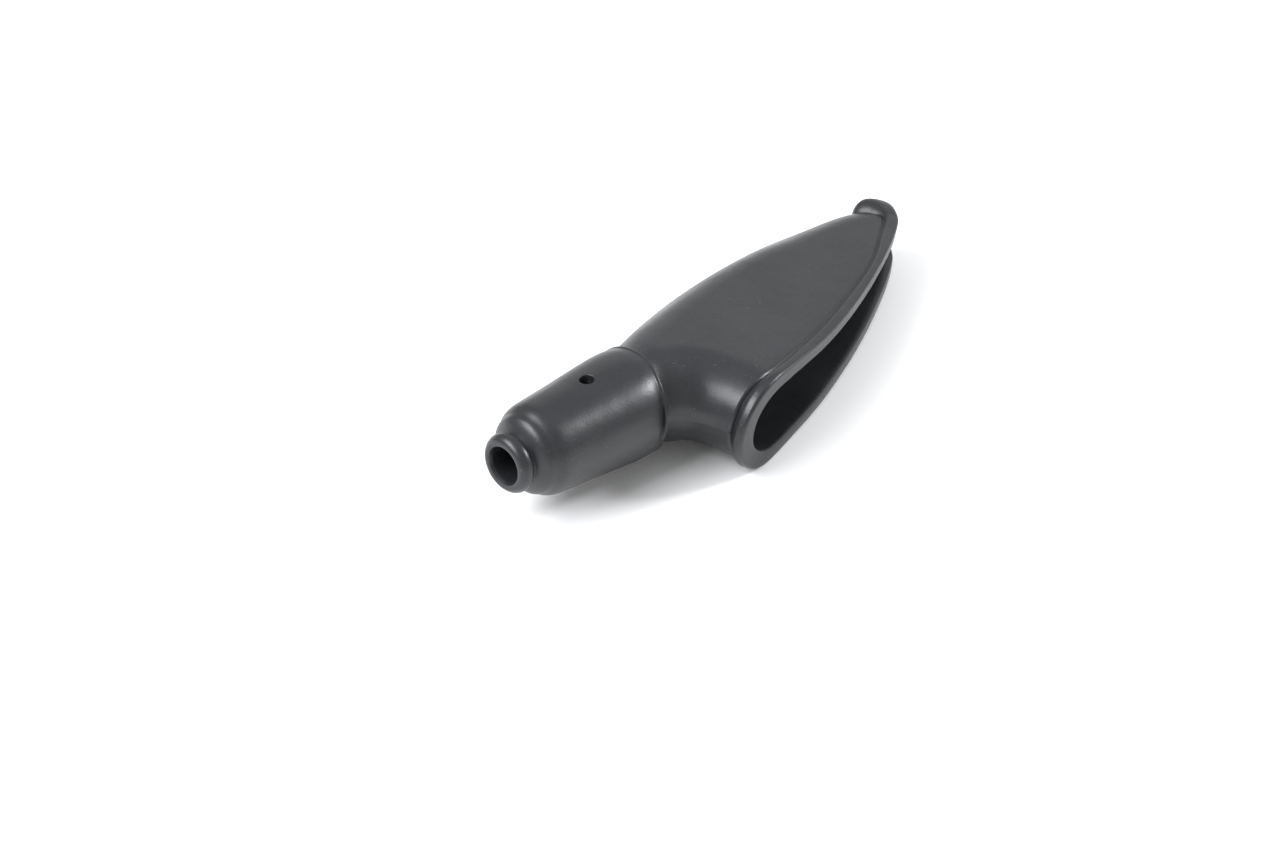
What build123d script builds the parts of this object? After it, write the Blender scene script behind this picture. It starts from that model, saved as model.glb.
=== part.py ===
from build123d import *
import os

# Rubber dust boot for a control cable and the lever it works.
# +X runs from the cable end to the tip of the hood, +Z is square to the flat cheeks,
# and the slit mouth faces -Y. The origin is on the sleeve's axis, in the cable end's face.
# All lengths are in millimetres.

# Cable end and sleeve, round about the X axis
BORE_R = 3.5
COLLAR_R = 5.8
COLLAR_FACE_R = 4.5
COLLAR_MID_X = 1.3
COLLAR_LENGTH = 2.8
COLLAR_GROOVE_R = 5.2
SHOULDER_X = 3.4
SHOULDER_STEP = 0.2
SHOULDER_MID = (5.2, 7.6)
SHOULDER_END_X = 9.0
SHOULDER_END_R = 9.15
SLEEVE_MID = (19.5, 9.9)
SLEEVE_MAX_R = 10.55
SLEEVE_MAX_X = 30.5
SLEEVE_ROUND = (32.3, 10.42)
SLEEVE_END_X = 33.2
SLEEVE_END_R = 9.9
SLEEVE_BORE_R = 7.8
SLEEVE_BORE_MID = (6.4, 5.6)
SLEEVE_BORE_END_X = 5.6
DRAIN_X = 20.7
DRAIN_R = 1.42
DRAIN_TURN = 4.5

# Neck
NECK_BORE_R = 6.6
NECK_GROOVE_R = 9.85
NECK_RING_R = 10.25
NECK_RING_X = 33.75
NECK_RING_HALF = 0.4
NECK_GROOVE_WIDTH = 0.15
NECK_END_R = 8.8
HOOD_START_X = 34.4

# Hood
WALL = 1.9
BEAD_PROUD = 1.1
BEAD_WIDTH = 3.0
LIP_WALL = 1.7
HALF_THICKNESS_AT_NECK = 10.3
HALF_THICKNESS_AT_TIP = 4.8
TIP_X = 120.0
LEAST_FLAT = 0.05

# Gap between the hood's frame and the two cheeks that spread
FLAP_GAP = 0.3
HINGE_START = (44.0, 4.0)
HINGE_END_X = 110.0
HINGE_SLOPE = 0.083
SIDE_LINE_END = (51.0, -21.5)
SIDE_LINE_SPREAD = 6.0
FRAME_SPLIT_Y = 1.0
BEAD_SPLIT_X = 80.0

THICKNESS_SLOPE = (HALF_THICKNESS_AT_NECK - HALF_THICKNESS_AT_TIP) / (TIP_X - HOOD_START_X)

# Room taken by the blocks that cut the hood
REACH = 60.0
BACK_CORNERS = [(100, 50), (20, 50), (20, -60), (30, -60)]
SLIT_CORNERS = [(90, 50), (20, 50), (20, -60), (140, -60)]
BLOCK = 200.0

# Stations of the hood: where each cross-section meets the side wall and the back fold
STATIONS = [
    ((34.4, -8.95), (34.4, 9.35)),
    ((38.2, -11.6), (50.0, 13.8)),
    ((39.6, -15.4), (66.0, 16.9)),
    ((40.4, -19.3), (84.0, 18.5)),
    ((40.9, -23.0), (104.0, 17.6)),
    ((41.3, -27.2), (124.0, 13.9)),
    ((41.5, -32.0), (136.0, 8.0)),
]

# Plan of the mouth's front face, from its corner to the end of the slit
MOUTH = [
    (40.0, -22.3),
    (50.0, -20.8),
    (60.0, -18.5),
    (70.0, -15.8),
    (82.0, -11.5),
    (95.0, -5.9),
    (109.0, 1.4),
    (115.0, 5.6),
]
MOUTH_START = (30.0, -24.0)
TIP_OUTLINE = [(118.4, 8.6), (119.8, 11.6), (118.9, 14.8), (116.0, 16.9), (112.4, 18.0), (108.0, 18.8)]
GROOVE_TIP = [(112.4, 6.5), (113.4, 9.6), (112.2, 12.6), (109.6, 15.4), (107.0, 20.0)]
SLIT_END = [(118.6, 8.0), (116.4, 10.6), (113.6, 12.4), (109.0, 13.6), (102.0, 14.4)]


def half_thickness(x):
    return HALF_THICKNESS_AT_NECK - THICKNESS_SLOPE * (x - HOOD_START_X)


def slot_wire(station, grow):
    """Upright slot with round ends, grown outwards by a given amount."""
    side = Vector(*station[0], 0)
    back = Vector(*station[1], 0)
    along = (back - side).normalized()
    side -= along * grow
    back += along * grow
    side_r = (half_thickness(side.X) + grow) / (1 + THICKNESS_SLOPE * along.X)
    back_r = (half_thickness(back.X) + grow) / (1 - THICKNESS_SLOPE * along.X)
    widest = (back - side).length / 2 - LEAST_FLAT
    side_r = min(side_r, widest)
    back_r = min(back_r, widest)
    low = side + along * side_r
    high = back - along * back_r
    up = Vector(0, 0, 1)
    edges = [
        Line(low + up * side_r, high + up * back_r),
        ThreePointArc(high + up * back_r, back, high - up * back_r),
        Line(high - up * back_r, low - up * side_r),
        ThreePointArc(low - up * side_r, side, low + up * side_r),
    ]
    return Wire([edge.edge() for edge in edges])


def hood_loft(grow):
    return Solid.make_loft([slot_wire(station, grow) for station in STATIONS])


def plan_region(curve_points, closing_points):
    """Tall block whose plan is bounded by a smooth curve and by straight closing lines."""
    curve = Spline(*[Vector(*point, 0) for point in curve_points])
    rest = Polyline(
        *[Vector(*point, 0) for point in [curve_points[-1]] + closing_points + [curve_points[0]]]
    )
    face = Face(Wire([curve.edge()] + list(rest.edges())))
    return extrude(face, amount=REACH, dir=(0, 0, 1), both=True)


def prism(points):
    face = Face(Wire.make_polygon([Vector(*point, 0) for point in points]))
    return extrude(face, amount=REACH, dir=(0, 0, 1), both=True)


def set_back(points, distance):
    """Points moved square to the mouth, into the hood."""
    moved = []
    for index, point in enumerate(points):
        before = points[max(index - 1, 0)]
        after = points[min(index + 1, len(points) - 1)]
        tangent = Vector(after[0] - before[0], after[1] - before[1], 0).normalized()
        moved.append((point[0] - tangent.Y * distance, point[1] + tangent.X * distance))
    return moved


def revolve_profile(edges):
    return revolve(Face(Wire([edge.edge() for edge in edges])), axis=Axis.X)


def make_cable_collar():
    edges = [
        Polyline((0, BORE_R), (0, COLLAR_FACE_R)),
        Spline(
            (0, COLLAR_FACE_R),
            (COLLAR_MID_X, COLLAR_R),
            (COLLAR_LENGTH, COLLAR_GROOVE_R),
            tangents=[(0.2, 1), (0, -1)],
        ),
        Line((COLLAR_LENGTH, COLLAR_GROOVE_R), (SHOULDER_X, COLLAR_GROOVE_R)),
        Line((SHOULDER_X, COLLAR_GROOVE_R), (SHOULDER_X, BORE_R)),
        Line((SHOULDER_X, BORE_R), (0, BORE_R)),
    ]
    return revolve_profile(edges)


def make_barrel_shoulder():
    edges = [
        Line((SHOULDER_X, BORE_R), (SHOULDER_X, COLLAR_GROOVE_R + SHOULDER_STEP)),
        Spline(
            (SHOULDER_X, COLLAR_GROOVE_R + SHOULDER_STEP),
            SHOULDER_MID,
            (SHOULDER_END_X, SHOULDER_END_R),
            tangents=[(0.3, 1), (1, 0.08)],
        ),
        Line((SHOULDER_END_X, SHOULDER_END_R), (SHOULDER_END_X, SLEEVE_BORE_R)),
        Spline(
            (SHOULDER_END_X, SLEEVE_BORE_R),
            SLEEVE_BORE_MID,
            (SLEEVE_BORE_END_X, BORE_R),
            tangents=[(-1, -0.2), (0, -1)],
        ),
        Line((SLEEVE_BORE_END_X, BORE_R), (SHOULDER_X, BORE_R)),
    ]
    return revolve_profile(edges)


def make_barrel_sleeve():
    edges = [
        Line((SHOULDER_END_X, SLEEVE_BORE_R), (SHOULDER_END_X, SHOULDER_END_R)),
        Spline(
            (SHOULDER_END_X, SHOULDER_END_R),
            SLEEVE_MID,
            (SLEEVE_MAX_X, SLEEVE_MAX_R),
            tangents=[(1, 0.07), (1, 0)],
        ),
        Spline(
            (SLEEVE_MAX_X, SLEEVE_MAX_R),
            SLEEVE_ROUND,
            (SLEEVE_END_X, SLEEVE_END_R),
            tangents=[(1, 0), (0.2, -1)],
        ),
        Line((SLEEVE_END_X, SLEEVE_END_R), (SLEEVE_END_X, SLEEVE_BORE_R)),
        Line((SLEEVE_END_X, SLEEVE_BORE_R), (SHOULDER_END_X, SLEEVE_BORE_R)),
    ]
    sleeve = revolve_profile(edges)
    drill = Cylinder(DRAIN_R, SLEEVE_MAX_R, align=(Align.CENTER, Align.CENTER, Align.MIN))
    return sleeve - Pos(DRAIN_X, 0, 0) * Rot(-DRAIN_TURN, 0, 0) * drill


def make_neck_web():
    """Short flexible ring between the sleeve and the hood, with a raised rib round it."""
    groove_end = SLEEVE_END_X + NECK_GROOVE_WIDTH
    rib_end = (NECK_RING_X + NECK_RING_HALF, NECK_GROOVE_R)
    edges = [
        Polyline((SLEEVE_END_X, NECK_BORE_R), (SLEEVE_END_X, NECK_GROOVE_R), (groove_end, NECK_GROOVE_R)),
        ThreePointArc((groove_end, NECK_GROOVE_R), (NECK_RING_X, NECK_RING_R), rib_end),
        Polyline(
            rib_end,
            (HOOD_START_X, NECK_END_R),
            (HOOD_START_X, NECK_BORE_R),
            (SLEEVE_END_X, NECK_BORE_R),
        ),
    ]
    wires = [edge for part in edges for edge in part.edges()]
    return revolve(Face(Wire(wires)), axis=Axis.X)


def save(name, shape):
    solids = shape.solids()
    body = solids[0] if len(solids) == 1 else Compound(children=list(solids))
    export_step(body, f"parts/{name}.step")
    print(name, len(solids), round(body.volume, 1))


def main():
    os.makedirs("parts", exist_ok=True)

    groove = set_back(MOUTH, BEAD_WIDTH)[:-1]
    groove_start = (MOUTH_START[0], MOUTH_START[1] + BEAD_WIDTH)
    inside_mouth = plan_region([MOUTH_START] + MOUTH + TIP_OUTLINE, BACK_CORNERS)
    inside_groove = plan_region([groove_start] + groove + GROOVE_TIP, BACK_CORNERS)
    slit_room = plan_region(SLIT_END, SLIT_CORNERS)

    hollow = hood_loft(-WALL) & slit_room
    lip_hollow = hood_loft(-LIP_WALL) & slit_room
    wall = (hood_loft(0) - hollow) & inside_groove
    bead = ((hood_loft(BEAD_PROUD) - lip_hollow) & inside_mouth) - inside_groove

    hinge_end = (HINGE_END_X, HINGE_START[1] + HINGE_SLOPE * (HINGE_END_X - HINGE_START[0]))
    far_out = -REACH
    flap_plan = [
        HINGE_START,
        hinge_end,
        (HINGE_END_X, far_out),
        (SIDE_LINE_END[0] + SIDE_LINE_SPREAD, far_out),
        SIDE_LINE_END,
    ]
    flaps = prism(flap_plan)
    gap = FLAP_GAP
    around_flaps = prism(
        [
            (HINGE_START[0] - gap, HINGE_START[1] + gap),
            (hinge_end[0] + gap, hinge_end[1] + gap),
            (HINGE_END_X + gap, far_out),
            (SIDE_LINE_END[0] + SIDE_LINE_SPREAD - gap, far_out),
            (SIDE_LINE_END[0] - gap, SIDE_LINE_END[1]),
        ]
    )
    upper_half = Pos(TIP_X / 2, 0, REACH / 2) * Box(BLOCK, BLOCK, REACH)
    lower_half = Pos(TIP_X / 2, 0, -REACH / 2) * Box(BLOCK, BLOCK, REACH)
    corner_side = Pos(BEAD_SPLIT_X - BLOCK / 2, 0, 0) * Box(BLOCK, BLOCK, BLOCK)
    fold_side = Pos(TIP_X / 2, FRAME_SPLIT_Y + BLOCK / 2, 0) * Box(BLOCK, BLOCK, BLOCK)

    frame_wall = wall - around_flaps
    frame_bead = bead - around_flaps
    flap_wall = wall & flaps
    flap_bead = bead & flaps

    save("cable_collar", make_cable_collar())
    save("barrel_shoulder", make_barrel_shoulder())
    save("barrel_sleeve", make_barrel_sleeve())
    save("neck_web", make_neck_web())
    save("back_fold", frame_wall & fold_side)
    save("side_wall", frame_wall - fold_side)
    save("corner_bead", frame_bead & corner_side)
    save("tip_cap", frame_bead - corner_side)
    save("upper_cheek", flap_wall & upper_half)
    save("lower_cheek", flap_wall & lower_half)
    save("upper_lip", flap_bead & upper_half)
    save("lower_lip", flap_bead & lower_half)


main()
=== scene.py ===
import math

import bpy
import numpy as np
from mathutils import Matrix, Vector


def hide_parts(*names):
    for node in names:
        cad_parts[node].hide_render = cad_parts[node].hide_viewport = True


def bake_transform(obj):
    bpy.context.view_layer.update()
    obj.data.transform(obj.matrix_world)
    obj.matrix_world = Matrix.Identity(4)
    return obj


# A moulded rubber dust boot: a round sleeve with a cable collar, a neck, and a flat hollow
# hood with a beaded slit mouth. Shapes are worked out in millimetres and scaled to metres.

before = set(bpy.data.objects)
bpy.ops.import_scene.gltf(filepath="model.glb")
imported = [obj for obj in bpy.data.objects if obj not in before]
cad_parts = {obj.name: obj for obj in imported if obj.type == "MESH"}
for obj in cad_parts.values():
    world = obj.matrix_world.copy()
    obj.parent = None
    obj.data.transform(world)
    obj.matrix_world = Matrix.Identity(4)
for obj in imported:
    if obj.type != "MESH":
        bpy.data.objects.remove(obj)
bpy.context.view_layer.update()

MM = 0.001

# Sleeve, as (x, radius) stations from the cable end to the neck
BORE_R = 3.5
OUTER_PROFILE = [
    (0.0, 4.22), (0.02, 4.6), (0.14, 4.9), (0.4, 5.25), (0.8, 5.54), (1.3, 5.74), (1.9, 5.78),
    (2.4, 5.62), (2.75, 5.35), (3.0, 5.1), (3.2, 4.98), (3.4, 5.05), (3.6, 5.4), (3.85, 5.85),
    (4.2, 6.55), (4.6, 7.12), (5.0, 7.48), (5.35, 7.67), (5.65, 7.77), (5.95, 7.89), (6.25, 8.06),
    (6.6, 8.3), (7.0, 8.55), (7.5, 8.77), (8.1, 8.94), (8.8, 9.05), (9.6, 9.13),
    (10.5, 9.2), (13.0, 9.38), (17.5, 9.69),
]
OUTER_END = [
    (24.0, 10.22), (26.5, 10.42), (28.6, 10.54), (30.0, 10.57), (31.0, 10.55), (31.8, 10.5),
    (32.4, 10.43), (32.75, 10.39), (33.0, 10.36), (33.15, 10.35), (33.27, 10.37), (33.4, 10.42),
    (33.55, 10.48), (33.7, 10.49), (33.88, 10.42), (34.02, 10.22), (34.12, 9.9),
    (34.2, 9.5), (34.3, 9.1), (34.5, 8.8), (34.8, 8.7), (35.4, 8.7), (36.0, 8.7),
]
INNER_START = [
    (36.0, 6.6), (35.2, 6.6), (34.4, 6.6), (33.6, 6.6), (32.6, 6.9), (31.4, 7.5), (30.0, 7.8),
    (27.0, 7.8), (24.0, 7.8),
]
INNER_END = [
    (17.5, 7.75), (11.0, 7.4), (8.0, 6.6), (6.2, 5.0), (5.6, 3.9), (5.3, BORE_R), (2.6, BORE_R),
    (0.95, BORE_R), (0.7, 3.56), (0.1, 3.84),
]
SLEEVE_TURNS = 144

# Drain hole: place, size and turn from the top in degrees, and the square patch it is cut in
DRAIN_X = 20.7
DRAIN_R = 1.42
DRAIN_TURN = 4.5
DRAIN_STEP = 0.5
DRAIN_CELLS = 6
DRAIN_PATCH = 2.5
DRAIN_EDGE = 0.22
DRAIN_SHARES = (0.7, 0.4, 0.15)
DRAIN_ROUND = [(DRAIN_EDGE, 0.0), (0.11, 0.03), (0.035, 0.1), (0.0, 0.22), (0.0, 0.8), (0.0, 1.5)]

# Hood outline in plan: the rim at the neck, the side edge, the folded back edge and the mouth
WALL = 1.9
HALF_NECK = 10.38
HALF_TIP = 4.8
NECK_X = 35.8
TIP_X = 120.0
SIDE_PLAN = [
    (33.75, -8.7), (35.4, -9.35), (37.8, -11.1), (39.3, -14.4), (40.2, -18.2), (40.8, -22.1),
]
BACK_PLAN = [
    (33.75, 9.2), (36.2, 9.7), (45.0, 12.5), (57.0, 15.4), (72.0, 17.7), (86.0, 18.6),
    (98.0, 18.0), (108.0, 17.2), (112.1, 16.3), (116.6, 14.0), (118.6, 9.7),
]
MOUTH_PLAN = [
    (40.8, -22.1), (50.0, -20.8), (60.0, -18.5), (70.0, -15.8), (82.0, -11.5), (95.0, -5.9),
    (109.0, 1.4), (115.3, 5.7), (118.6, 9.7),
]

# Grid of the hood: columns run from the side edge over the cheek to the back fold
SIDE_COLUMNS = 26
CHEEK_COLUMNS = 90
BACK_COLUMNS = 34
ROWS = 260
MOUTH_POINTS = 400
EDGE_TURNS = [0, 0.015, 0.035]
FIRST_TURN = 0.07
LEAST_SLANT = 0.45
ROUND_LIMIT = 8

# Bead round the mouth: at the corner, along the lip and over the tip, where it grows into a cap
CORNER_PROUD = 1.1
LIP_PROUD = 0.69
CAP_PROUD = 3.1
BEAD_WIDTH = 2.6
CORNER_WIDER = 0.45
TIP_NARROWER = 0.6
TURN_WIDER = 0.9
CAP_WIDTH = 9.2
LIP_SHIFT = {1: -0.2, -1: 0.1}

# Across the bead: (distance before it, depth) of its groove, then how it rises and rounds over
BEAD_GROOVE = [(0.45, 0.13), (0.2, 0.26), (0.0, 0.22)]
GROOVE_START = 0.8
BEAD_BACK = 0.1
BEAD_RISE = 1.5
BEAD_STEPS = (0.0, 0.06, 0.13, 0.22, 0.34, 0.48, 0.64, 0.82, 1.0)
CAP_CLIMB = 0.62
EDGE_ROUND = 0.7
CAP_FLAT = 1.5
CAP_ROUND = 1.0
INNER_ROUND = 0.4

# Walls of the hood, the thin flash on the parting line and the edge at the neck
FRONT_WALL = 2.05
CORNER_WALL = 3.0
RIM_WALL = 1.3
WALL_FADE = 7.0
FLASH = 0.05
NECK_EDGE = [(0.0, -0.32), (0.05, -0.12), (0.16, 0.02)]
NECK_EDGE_END = 0.4

# How the neck is drawn in on the mouth's side: it leans, its groove deepens, the root is sunk
LEAN_FROM_Y = 1.5
LEAN_SLOPE = 0.27
LEAN_EASE = 2.0
SLEEVE_LEAN = (24.0, 33.2, 60.0)
HOOD_LEAN = (20.0, 33.7, 7.0)
PRESS_FROM_R = 9.5
PRESS_SHARPNESS = 10
PRESS_TOWARD = (-0.98, 0.19)
PRESS_X = 33.1
PRESS_REACH = 0.42
PRESS_DEPTH = 0.8
DENT_TOWARD = (-0.62, 0.785)
DENT_DEPTH = 0.8
DENT_FROM_X, DENT_REACH = 34.0, 4.6
DENT_FROM_R, DENT_FADE = 8.9, 0.6
DENT_SHARPNESS = 4
LEAST_R = 0.001

# Camera: bearing, height and roll in degrees, distance and picture offset in millimetres
AZIMUTH, ELEVATION, ROLL = -49.11, 36.57, 7.04
DISTANCE = 538.56
OFFSET_RIGHT, OFFSET_UP = 23.32, 8.10
LENS = 85.0
SENSOR = 36.0

# Noise scales of the rubber, per metre
CLOUD_SCALE = 55
TOOTH_SCALE = 1500
DUST_SCALE = 2600
PATCH_SCALE = 130
SHINE_SCALE = 90
FINE_BUMP_SCALE = 2200
BROAD_BUMP_SCALE = 75
SPECK_COLOUR = (0.16, 0.16, 0.165)

# Floor and lamps; lamps are (name, direction, distance, size, watts) in metres from their aim
FLOOR_SIZE = 3.0
FLOOR_CLEARANCE = 0.00002
AIM = (0.06, 0.0, 0.0)
COOL = (0.95, 0.97, 1.0)
WORLD_STRENGTH = 0.55
LAMPS = (
    ("key_light", (0.68, -0.43, 0.61), 0.9, (0.20, 0.18), 6.0),
    ("side_light", (-0.74, 0.20, 0.62), 0.9, (0.50, 0.45), 6.0),
    ("shoulder_light", (-0.55, 0.47, 0.69), 0.9, (0.44, 0.40), 4.6),
    ("back_light", (0.72, 0.54, 0.40), 1.2, (1.2, 0.8), 1.15),
    ("top_light", (0.05, 0.10, 1.00), 1.3, (1.4, 1.4), 2.4),
)


def spline_points(points, count):
    """Evenly spaced points on a smooth curve through the given ones (centripetal Catmull-Rom)."""
    pts = np.array(points, float)
    pts = np.vstack([2 * pts[0] - pts[1], pts, 2 * pts[-1] - pts[-2]])
    knots = np.r_[0, np.cumsum(np.sqrt(np.linalg.norm(np.diff(pts, axis=0), axis=1)))]
    dense = []
    for i in range(1, len(pts) - 2):
        t0, t1, t2, t3 = knots[i - 1:i + 3]
        t = np.linspace(t1, t2, 40, endpoint=False)[:, None]
        a1 = (t1 - t) / (t1 - t0) * pts[i - 1] + (t - t0) / (t1 - t0) * pts[i]
        a2 = (t2 - t) / (t2 - t1) * pts[i] + (t - t1) / (t2 - t1) * pts[i + 1]
        a3 = (t3 - t) / (t3 - t2) * pts[i + 1] + (t - t2) / (t3 - t2) * pts[i + 2]
        b1 = (t2 - t) / (t2 - t0) * a1 + (t - t0) / (t2 - t0) * a2
        b2 = (t3 - t) / (t3 - t1) * a2 + (t - t1) / (t3 - t1) * a3
        dense.append((t2 - t) / (t2 - t1) * b1 + (t - t1) / (t2 - t1) * b2)
    dense = np.vstack(dense + [pts[-2][None]])
    length = np.r_[0, np.cumsum(np.linalg.norm(np.diff(dense, axis=0), axis=1))]
    at = np.linspace(0, 1, count) * length[-1]
    return np.column_stack([np.interp(at, length, dense[:, k]) for k in range(dense.shape[1])])


def smooth_step(t):
    t = np.clip(t, 0, 1)
    return t * t * (3 - 2 * t)


def lean(verts, start, full, fade):
    """Draws the neck back towards the cable on the mouth's side, where the rubber is pulled in."""
    out = np.array(verts, float)
    x, y = out[:, 0], out[:, 1]
    inward = np.clip(-y - LEAN_FROM_Y, 0, None)
    pull = LEAN_SLOPE * inward * inward / (inward + LEAN_EASE)
    near = smooth_step((x - start) / (full - start)) * (1 - smooth_step((x - full) / fade))
    out[:, 0] = x - pull * near
    return out


def press_groove(verts):
    """Deepens the groove before the neck's ring where the neck bends, on the mouth's side."""
    out = np.array(verts, float)
    r = np.hypot(out[:, 1], out[:, 2])
    facing = (out[:, 1] * PRESS_TOWARD[0] + out[:, 2] * PRESS_TOWARD[1]) / np.maximum(r, LEAST_R)
    around = np.clip(facing, 0, 1) ** PRESS_SHARPNESS
    along = np.exp(-((out[:, 0] - PRESS_X) / PRESS_REACH) ** 2)
    scale = 1 - PRESS_DEPTH * around * along * (r > PRESS_FROM_R) / np.maximum(r, LEAST_R)
    out[:, 1] *= scale
    out[:, 2] *= scale
    return out


def dent_root(verts, sign):
    """Sinks the hood's root beside the neck's ring, so that the wall rises out of the ring."""
    out = np.array(verts, float)
    r = np.maximum(np.hypot(out[:, 1], out[:, 2]), LEAST_R)
    facing = (out[:, 1] * DENT_TOWARD[0] + out[:, 2] * sign * DENT_TOWARD[1]) / r
    around = np.clip(facing, 0, 1) ** DENT_SHARPNESS
    along = 1 - smooth_step((out[:, 0] - DENT_FROM_X) / DENT_REACH)
    outer = smooth_step((r - DENT_FROM_R) / DENT_FADE)
    scale = 1 - DENT_DEPTH * around * along * outer / r
    out[:, 1] *= scale
    out[:, 2] *= scale
    return out


def make_object(name, verts, faces, material, sharp=38.0):
    mesh = bpy.data.meshes.new(name)
    mesh.from_pydata([tuple(v) for v in np.asarray(verts) * MM], [], faces)
    mesh.validate()
    mesh.update()
    mesh.polygons.foreach_set("use_smooth", [True] * len(mesh.polygons))
    mesh.set_sharp_from_angle(angle=math.radians(sharp))
    obj = bpy.data.objects.new(name, mesh)
    bpy.context.scene.collection.objects.link(obj)
    obj.data.materials.append(material)
    return obj


# ---------------------------------------------------------------- rubber

def rubber(name, dark, light, roughness, bump=0.35):
    """Black moulded rubber: fine tooth, faint cloudy bloom and scattered dust."""
    mat = bpy.data.materials.new(name)
    mat.use_nodes = True
    nodes, links = mat.node_tree.nodes, mat.node_tree.links
    bsdf = nodes["Principled BSDF"]
    coord = nodes.new("ShaderNodeTexCoord")

    def noise(scale, detail=4.0, rough=0.55):
        node = nodes.new("ShaderNodeTexNoise")
        node.inputs["Scale"].default_value = scale
        node.inputs["Detail"].default_value = detail
        node.inputs["Roughness"].default_value = rough
        links.new(coord.outputs["Object"], node.inputs["Vector"])
        return node.outputs["Fac"]

    def ramp(source, stops):
        node = nodes.new("ShaderNodeValToRGB")
        for element, (position, colour) in zip(node.color_ramp.elements, stops):
            element.position = position
            element.color = (*colour, 1)
        links.new(source, node.inputs["Fac"])
        return node.outputs["Color"]

    def mix(factor, a, b, kind="MIX"):
        node = nodes.new("ShaderNodeMix")
        node.data_type = "RGBA"
        node.blend_type = kind
        for socket, value in ((node.inputs[0], factor), (node.inputs[6], a), (node.inputs[7], b)):
            if isinstance(value, bpy.types.NodeSocket):
                links.new(value, socket)
            elif isinstance(value, (int, float)):
                socket.default_value = value
            else:
                socket.default_value = (*value, 1)
        return node.outputs[2]

    def gray(v):
        return (v, v, v)

    cloud = ramp(noise(CLOUD_SCALE, 5, 0.6), [(0.32, dark), (0.7, light)])
    tooth = ramp(noise(TOOTH_SCALE, 3, 0.6), [(0.3, gray(0.86)), (0.7, gray(1.12))])
    base = mix(1.0, cloud, tooth, "MULTIPLY")
    dust = ramp(noise(DUST_SCALE, 1, 0.4), [(0.735, gray(0.0)), (0.78, gray(0.55))])
    patch = ramp(noise(PATCH_SCALE, 3, 0.6), [(0.42, gray(0.0)), (0.66, gray(1.0))])
    specks = mix(1.0, dust, patch, "MULTIPLY")
    base = mix(specks, base, SPECK_COLOUR)
    links.new(base, bsdf.inputs["Base Color"])

    shine = ramp(
        noise(SHINE_SCALE, 4, 0.6), [(0.3, gray(roughness - 0.05)), (0.7, gray(roughness + 0.07))]
    )
    links.new(shine, bsdf.inputs["Roughness"])
    bsdf.inputs["IOR"].default_value = 1.5
    bsdf.inputs["Specular IOR Level"].default_value = 0.5

    fine = nodes.new("ShaderNodeBump")
    fine.inputs["Strength"].default_value = bump
    fine.inputs["Distance"].default_value = 0.00006
    links.new(noise(FINE_BUMP_SCALE, 3, 0.6), fine.inputs["Height"])
    broad = nodes.new("ShaderNodeBump")
    broad.inputs["Strength"].default_value = 0.35
    broad.inputs["Distance"].default_value = 0.0006
    links.new(noise(BROAD_BUMP_SCALE, 3, 0.5), broad.inputs["Height"])
    links.new(fine.outputs["Normal"], broad.inputs["Normal"])
    links.new(broad.outputs["Normal"], bsdf.inputs["Normal"])
    return mat


rubber_body = rubber("rubber_body", (0.0115, 0.012, 0.0138), (0.0175, 0.018, 0.0205), 0.34)


# ---------------------------------------------------------------- sleeve

def ring_points(x, r):
    turn = np.arange(SLEEVE_TURNS) * 2 * math.pi / SLEEVE_TURNS
    return np.column_stack([np.full(SLEEVE_TURNS, x), r * np.sin(turn), r * np.cos(turn)])


def profile_radius(profile, x):
    pts = np.array(sorted(profile))
    return np.interp(x, pts[:, 0], pts[:, 1])


def patch_boundary(first, last):
    """(row, turn) of the grid points round the square patch that the drain hole is cut in."""
    lo, hi = -DRAIN_CELLS, DRAIN_CELLS
    path = [(first, k) for k in range(lo, hi)]
    path += [(row, hi) for row in range(first, last)]
    path += [(last, k) for k in range(hi, lo, -1)]
    path += [(row, lo) for row in range(last, first, -1)]
    return path


def turn_about_x(verts, degrees):
    out = np.array(verts, float)
    c, s = math.cos(math.radians(degrees)), math.sin(math.radians(degrees))
    y, z = out[:, 1].copy(), out[:, 2].copy()
    out[:, 1] = y * c + z * s
    out[:, 2] = z * c - y * s
    return out


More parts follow.
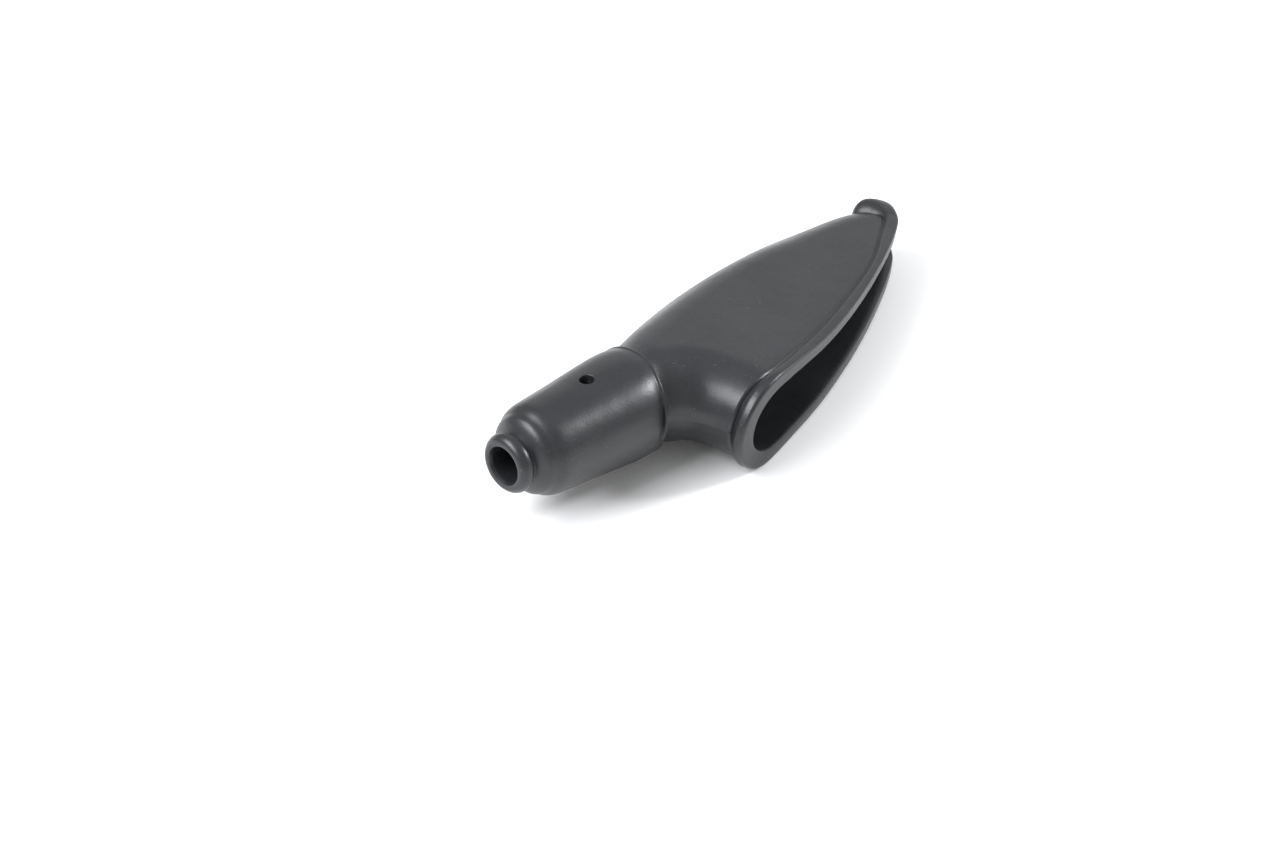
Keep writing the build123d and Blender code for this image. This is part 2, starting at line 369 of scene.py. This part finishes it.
def build_sleeve():
    middle = np.arange(DRAIN_X - DRAIN_PATCH, DRAIN_X + DRAIN_PATCH + 1e-6, DRAIN_STEP)
    outer_all = OUTER_PROFILE + OUTER_END
    inner_all = INNER_START + INNER_END
    outer_mid = [(x, float(profile_radius(outer_all, x))) for x in middle]
    inner_mid = [(x, float(profile_radius(inner_all, x))) for x in middle[::-1]]
    rows = OUTER_PROFILE + outer_mid + OUTER_END + INNER_START + inner_mid + INNER_END
    out_first = len(OUTER_PROFILE)
    out_last = out_first + len(middle) - 1
    in_first = len(OUTER_PROFILE) + len(outer_mid) + len(OUTER_END) + len(INNER_START)
    in_last = in_first + len(middle) - 1
    verts = list(np.vstack([ring_points(x, r) for x, r in rows]))
    faces = []
    count = len(rows)

    def index(row, turn):
        return (row % count) * SLEEVE_TURNS + turn % SLEEVE_TURNS

    for row in range(count):
        holed = out_first <= row < out_last or in_first <= row < in_last
        for turn in range(SLEEVE_TURNS):
            centred = (turn + SLEEVE_TURNS // 2) % SLEEVE_TURNS - SLEEVE_TURNS // 2
            if holed and -DRAIN_CELLS <= centred < DRAIN_CELLS:
                continue
            faces.append((
                index(row, turn), index(row, turn + 1),
                index(row + 1, turn + 1), index(row + 1, turn),
            ))

    def add_ring(points):
        start = len(verts)
        verts.extend(points)
        return list(range(start, start + len(points)))

    def bridge(a, b):
        n = len(a)
        for i in range(n):
            faces.append((a[i], b[i], b[(i + 1) % n], a[(i + 1) % n]))

    def surface_ring(profile, angles, radius, drop=0.0):
        x = DRAIN_X + radius * np.cos(angles)
        y = radius * np.sin(angles)
        z = np.sqrt(profile_radius(profile, x) ** 2 - y ** 2) - drop
        return list(np.column_stack([x, y, z]))

    outer_loop = [index(r, k) for r, k in patch_boundary(out_first, out_last)]
    edge = np.array([verts[i] for i in outer_loop])
    angles = np.arctan2(edge[:, 1], edge[:, 0] - DRAIN_X)
    reach = np.hypot(edge[:, 0] - DRAIN_X, edge[:, 1])
    previous = outer_loop
    for share in DRAIN_SHARES:
        radius = DRAIN_R + DRAIN_EDGE + (reach - DRAIN_R - DRAIN_EDGE) * share
        ring = add_ring(surface_ring(outer_all, angles, radius))
        bridge(previous, ring)
        previous = ring
    for radius, drop in DRAIN_ROUND:
        ring = add_ring(surface_ring(outer_all, angles, DRAIN_R + radius, drop))
        bridge(previous, ring)
        previous = ring
    inner_path = [(in_last - (r - out_first), k) for r, k in patch_boundary(out_first, out_last)]
    inner_loop = [index(r, k) for r, k in inner_path]
    ring = add_ring(surface_ring(inner_all, angles, DRAIN_R))
    bridge(previous, ring)
    bridge(ring, inner_loop)
    return verts, [face[::-1] for face in faces]


sleeve_verts, sleeve_faces = build_sleeve()
sleeve_verts = press_groove(turn_about_x(sleeve_verts, DRAIN_TURN))
sleeve_verts = lean(sleeve_verts, *SLEEVE_LEAN)
sleeve_skin = make_object("sleeve_skin", sleeve_verts, sleeve_faces, rubber_body)


# ---------------------------------------------------------------- hood

def half_thickness(x):
    return HALF_NECK - (HALF_NECK - HALF_TIP) * (x - NECK_X) / (TIP_X - NECK_X)


def hood_grid(sign):
    """Upper half of the plain hood: points[row, column], outward normals, distance to the mouth.

    Rows run from the neck's rim to the mouth, and columns from the side edge over the cheek to
    the folded back edge.
    """
    v = np.linspace(0, 1, ROWS)
    side, back = spline_points(SIDE_PLAN, ROWS), spline_points(BACK_PLAN, ROWS)
    across = back - side
    length = np.linalg.norm(across, axis=1)
    e = across / length[:, None]

    def stretch(curve):
        tangent = np.gradient(curve, axis=0)
        tangent /= np.linalg.norm(tangent, axis=1)[:, None]
        square_on = np.abs(e[:, 0] * tangent[:, 1] - e[:, 1] * tangent[:, 0])
        slant = 1 / np.clip(square_on, LEAST_SLANT, 1)
        reach = ROWS // 4
        weight = np.hanning(2 * reach + 1)
        padded = np.pad(slant, reach, mode="edge")
        return np.convolve(padded, weight / weight.sum(), mode="valid")

    side_r = half_thickness(side[:, 0]) * stretch(side)
    back_r = half_thickness(back[:, 0]) * stretch(back)
    crowd = (side_r + back_r) / length
    fit = (1 + crowd ** ROUND_LIMIT) ** (-1 / ROUND_LIMIT)
    side_r, back_r = side_r * fit, back_r * fit
    mouth = spline_points(MOUTH_PLAN, MOUTH_POINTS)
    outward = np.array([e[-1, 1], -e[-1, 0]])
    mouth_at = (mouth - side[-1]) @ e[-1] / length[-1]
    mouth_bow = (mouth - side[-1]) @ outward
    quarter = math.pi / 2
    side_turn = np.r_[EDGE_TURNS, np.linspace(FIRST_TURN, quarter, SIDE_COLUMNS)]
    back_turn = np.r_[
        np.linspace(0, quarter - FIRST_TURN, BACK_COLUMNS), quarter - np.array(EDGE_TURNS[::-1]),
    ]
    ones = np.ones((ROWS, 1))
    cheek = (length - side_r - back_r)[:, None] * np.linspace(0, 1, CHEEK_COLUMNS + 1)[None, 1:-1]
    c = np.hstack([
        side_r[:, None] * (1 - np.cos(side_turn)),
        side_r[:, None] + cheek,
        (length - back_r)[:, None] + back_r[:, None] * np.sin(back_turn),
    ])
    rise = np.hstack([
        ones * np.sin(side_turn),
        np.ones_like(cheek),
        ones * np.cos(back_turn),
    ])
    bow = np.interp((c / length[:, None]).ravel(), mouth_at, mouth_bow).reshape(c.shape)
    bow *= (v ** 2)[:, None]
    share = c / length[:, None]
    near_tip = smooth_step((share - 0.35) / 0.35)
    near_tip *= smooth_step((1 - share) / 0.06)
    bow += (LIP_SHIFT[sign] * near_tip) * (v ** 8)[:, None]
    plan = side[:, None] + e[:, None] * c[:, :, None] + outward * bow[:, :, None]
    points = np.dstack([plan, half_thickness(plan[:, :, 0]) * rise])
    points[:, 0, 2] = 0
    points[:, -1, 2] = 0
    normals = np.cross(np.gradient(points, axis=1), np.gradient(points, axis=0))
    normals[:, 0, 2] = 0
    normals[:, -1, 2] = 0
    normals /= np.maximum(np.linalg.norm(normals, axis=2), 1e-9)[:, :, None]
    if normals[ROWS // 2, len(side_turn) + CHEEK_COLUMNS // 2, 2] < 0:
        normals = -normals
    step = np.linalg.norm(np.diff(points, axis=0), axis=2)
    to_mouth = np.vstack([np.cumsum(step[::-1], axis=0)[::-1], np.zeros((1, points.shape[1]))])
    return points, normals, to_mouth, len(side_turn), len(back_turn)


def hood_half(sign):
    """Closed skin of the upper (1) or lower (-1) half: one loop round the wall for each column."""
    points, normals, to_mouth, side_count, back_count = hood_grid(sign)
    columns = points.shape[1]
    u = np.arange(columns)
    on_back = np.clip((u - (columns - back_count)) / (back_count - 1), 0, 1)
    on_side = 1 - smooth_step((u - side_count * 0.7) / (0.35 * CHEEK_COLUMNS))
    width = BEAD_WIDTH + (CAP_WIDTH - BEAD_WIDTH) * smooth_step(on_back / 0.7)
    proud = LIP_PROUD + (CAP_PROUD - LIP_PROUD) * smooth_step((on_back - 0.05) / 0.6)
    proud = proud + (CORNER_PROUD - LIP_PROUD) * on_side
    at_corner = 1 - smooth_step((u - side_count * 0.45) / (side_count * 0.75))
    front_wall = FRONT_WALL + (CORNER_WALL - FRONT_WALL) * at_corner
    width = width + CORNER_WIDER * at_corner
    near_tip = smooth_step((u - side_count - 0.3 * CHEEK_COLUMNS) / (0.5 * CHEEK_COLUMNS))
    width = width - TIP_NARROWER * near_tip * (1 - smooth_step(on_back / 0.3))
    turning = smooth_step((u - columns + back_count + 26) / 20) * (1 - smooth_step(on_back / 0.5))
    width = width + TURN_WIDER * turning
    groove = 1 + 0.9 * at_corner - 0.3 * on_back
    dome = smooth_step(on_back / 0.6)
    loops = []
    for col in range(columns):
        far, w, g, deep = to_mouth[0, col], width[col], proud[col], groove[col]
        wall = front_wall[col]
        k = g / CORNER_PROUD
        lip = FLASH if col < 2 or col >= columns - 2 else 0.0
        stations = [(far - ahead, height) for ahead, height in NECK_EDGE]
        stations += [(far - NECK_EDGE_END, lip)]
        stations += [(d, lip) for d in np.linspace(far - NECK_EDGE_END, w + GROOVE_START, 90)[1:-1]]
        stations += [(w + GROOVE_START, lip)]
        stations += [(w + ahead, -depth * deep) for ahead, depth in BEAD_GROOVE]
        rise_end, flat_end = BEAD_RISE * k, EDGE_ROUND * k + CAP_FLAT * dome[col]
        for t in BEAD_STEPS:
            ridge = w - BEAD_BACK * k - t * rise_end
            swell = w - BEAD_BACK * k - t * CAP_CLIMB * (w - flat_end - BEAD_BACK * k)
            lift = math.sin(t * math.pi / 2)
            stations.append((ridge + (swell - ridge) * dome[col], g * lift ** (0.8 - 0.1 * dome[col])))
        last = stations[-1][0]
        stations += [(d, g) for d in np.linspace(last, flat_end, 6)[1:-1]]
        drop = EDGE_ROUND * k + CAP_ROUND * dome[col]
        for t in np.linspace(0, math.pi / 2, 6):
            stations.append((flat_end * (1 - math.sin(t)), g - drop * (1 - math.cos(t))))
        edge = g - drop
        stations += [
            (0.0, (edge - wall + INNER_ROUND) / 2),
            (0.0, INNER_ROUND - wall),
            (0.12, 0.12 - wall),
            (INNER_ROUND, -wall),
        ]
        for d in np.linspace(INNER_ROUND, far - 2.2, 60)[1:]:
            thinned = smooth_step((d - INNER_ROUND) / WALL_FADE)
            stations.append((d, -WALL - (wall - WALL) * (1 - thinned)))
        stations += [(far - 1.5, -RIM_WALL), (far - 0.7, -RIM_WALL), (far, -RIM_WALL)]
        d = np.array([s[0] for s in stations])
        off = np.array([s[1] for s in stations])
        at = to_mouth[::-1, col]
        where = np.column_stack([np.interp(d, at, points[::-1, col, k]) for k in range(3)])
        facing = np.column_stack([np.interp(d, at, normals[::-1, col, k]) for k in range(3)])
        facing /= np.linalg.norm(facing, axis=1)[:, None]
        loop = where + facing * off[:, None]
        loop[:, 2] = np.maximum(loop[:, 2], 0.0)
        loop[:, 2] *= sign
        loops.append(loop)
    n = len(loops[0])
    verts = np.vstack(loops)
    faces = []
    for col in range(columns - 1):
        for i in range(n):
            j = (i + 1) % n
            faces.append((col * n + i, col * n + j, (col + 1) * n + j, (col + 1) * n + i))
    faces.append(tuple(range(n))[::-1])
    faces.append(tuple(range((columns - 1) * n, columns * n)))
    if sign < 0:
        faces = [face[::-1] for face in faces]
    return list(verts), faces


# Small moulding pips on the upper cheek: (x, y, radius, height)
PIPS = [
    (43.3, -1.8, 0.24, 0.1), (42.6, -6.3, 0.26, 0.12), (44.1, -9.7, 0.26, 0.12),
    (39.3, -6.2, 0.24, 0.12), (41.2, -2.7, 0.2, 0.08), (37.7, -5.1, 0.2, 0.1),
    (38.3, -4.9, 0.22, 0.1), (38.9, -4.7, 0.2, 0.1), (46.6, -11.3, 0.2, 0.08),
    (56.4, 1.7, 0.22, 0.07), (57.0, 1.2, 0.18, 0.06),
]
PIP_SIDES = 12


def add_pips(verts, faces):
    points, normals = hood_grid(1)[:2]
    around = np.arange(PIP_SIDES) * 2 * math.pi / PIP_SIDES
    for x, y, radius, height in PIPS:
        gap = np.hypot(points[:, :, 0] - x, points[:, :, 1] - y)
        at = np.unravel_index(gap.argmin(), gap.shape)
        centre, up = points[at], normals[at]
        first = np.cross(up, (0, 1, 0))
        first /= np.linalg.norm(first)
        second = np.cross(up, first)
        start = len(verts)
        rings = [(1.2, -0.1), (1.0, 0.02), (0.7, 0.65 * height), (0.3, 0.95 * height)]
        for share, lift in rings:
            verts.extend(
                centre + radius * share * (first * math.cos(t) + second * math.sin(t)) + up * lift
                for t in around
            )
        for ring in range(len(rings) - 1):
            first_vert = start + ring * PIP_SIDES
            for i in range(PIP_SIDES):
                a, b = first_vert + i, first_vert + (i + 1) % PIP_SIDES
                faces.append((a, b, b + PIP_SIDES, a + PIP_SIDES))
        top = start + (len(rings) - 1) * PIP_SIDES
        faces.append(tuple(range(top, top + PIP_SIDES)))
        faces.append(tuple(range(start, start + PIP_SIDES))[::-1])


upper_verts, upper_faces = hood_half(1)
add_pips(upper_verts, upper_faces)
upper_verts = lean(dent_root(upper_verts, 1), *HOOD_LEAN)
hood_upper = make_object("hood_skin_upper", upper_verts, upper_faces, rubber_body)
lower_verts, lower_faces = hood_half(-1)
lower_verts = lean(dent_root(lower_verts, -1), *HOOD_LEAN)
hood_lower = make_object("hood_skin_lower", lower_verts, lower_faces, rubber_body)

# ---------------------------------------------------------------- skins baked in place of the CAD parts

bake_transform(sleeve_skin)
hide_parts("cable_collar", "barrel_shoulder", "barrel_sleeve", "neck_web")
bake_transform(hood_upper)
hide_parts("back_fold", "side_wall", "corner_bead", "tip_cap", "upper_cheek", "upper_lip")
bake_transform(hood_lower)
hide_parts("back_fold", "side_wall", "corner_bead", "tip_cap", "lower_cheek", "lower_lip")

# ---------------------------------------------------------------- floor, light and camera

FLOOR_NORMAL = Vector((-0.061, 0.059, 0.996)).normalized()


def floor_material():
    mat = bpy.data.materials.new("pale_floor")
    mat.use_nodes = True
    nodes, links = mat.node_tree.nodes, mat.node_tree.links
    bsdf = nodes["Principled BSDF"]
    grain = nodes.new("ShaderNodeTexNoise")
    grain.inputs["Scale"].default_value = 40
    tint = nodes.new("ShaderNodeValToRGB")
    tint.color_ramp.elements[0].color = (0.92, 0.92, 0.92, 1)
    tint.color_ramp.elements[1].color = (0.94, 0.94, 0.94, 1)
    links.new(grain.outputs["Fac"], tint.inputs["Fac"])
    links.new(tint.outputs["Color"], bsdf.inputs["Base Color"])
    bsdf.inputs["Roughness"].default_value = 0.9
    bsdf.inputs["Specular IOR Level"].default_value = 0.1
    return mat


def build_floor():
    lowest = min(
        FLOOR_NORMAL.dot(v.co) for skin in (sleeve_skin, hood_lower) for v in skin.data.vertices
    )
    mesh = bpy.data.meshes.new("floor")
    across = FLOOR_NORMAL.orthogonal().normalized()
    along = FLOOR_NORMAL.cross(across)
    centre = FLOOR_NORMAL * (lowest - FLOOR_CLEARANCE)
    corners = [
        centre + across * a * FLOOR_SIZE + along * b * FLOOR_SIZE
        for a, b in ((-1, -1), (1, -1), (1, 1), (-1, 1))
    ]
    mesh.from_pydata(corners, [], [(0, 1, 2, 3)])
    mesh.materials.append(floor_material())
    floor = bpy.data.objects.new("floor", mesh)
    bpy.context.scene.collection.objects.link(floor)
    return floor


build_floor()


def area_light(name, place, aim, size, power, colour=(1, 1, 1)):
    data = bpy.data.lights.new(name, "AREA")
    data.shape = "RECTANGLE"
    data.size, data.size_y = size
    data.energy = power
    data.color = colour
    obj = bpy.data.objects.new(name, data)
    obj.location = Vector(place)
    obj.rotation_euler = (Vector(aim) - Vector(place)).to_track_quat("-Z", "Y").to_euler()
    bpy.context.scene.collection.objects.link(obj)
    return obj


for lamp, toward, away, size, power in LAMPS:
    area_light(lamp, Vector(AIM) + Vector(toward).normalized() * away, AIM, size, power, COOL)

world = bpy.data.worlds.new("studio")
bpy.context.scene.world = world
world.use_nodes = True
world.node_tree.nodes["Background"].inputs["Color"].default_value = (1, 1, 1, 1)
world.node_tree.nodes["Background"].inputs["Strength"].default_value = WORLD_STRENGTH
bpy.context.scene.view_settings.view_transform = "Standard"

camera_data = bpy.data.cameras.new("camera")
camera_data.lens = LENS
camera_data.sensor_width = SENSOR
camera = bpy.data.objects.new("camera", camera_data)
bpy.context.scene.collection.objects.link(camera)
turn, lift, roll = math.radians(AZIMUTH), math.radians(ELEVATION), math.radians(ROLL)
behind = Vector((math.sin(turn) * math.cos(lift), -math.cos(turn) * math.cos(lift), math.sin(lift)))
flat_right = Vector((math.cos(turn), math.sin(turn), 0))
flat_up = behind.cross(flat_right)
right = flat_right * math.cos(roll) + flat_up * math.sin(roll)
up = flat_up * math.cos(roll) - flat_right * math.sin(roll)
place = (right * OFFSET_RIGHT + up * OFFSET_UP + behind * DISTANCE) * MM
camera.matrix_world = Matrix((
    (right.x, up.x, behind.x, place.x),
    (right.y, up.y, behind.y, place.y),
    (right.z, up.z, behind.z, place.z),
    (0, 0, 0, 1),
))
bpy.context.scene.camera = camera
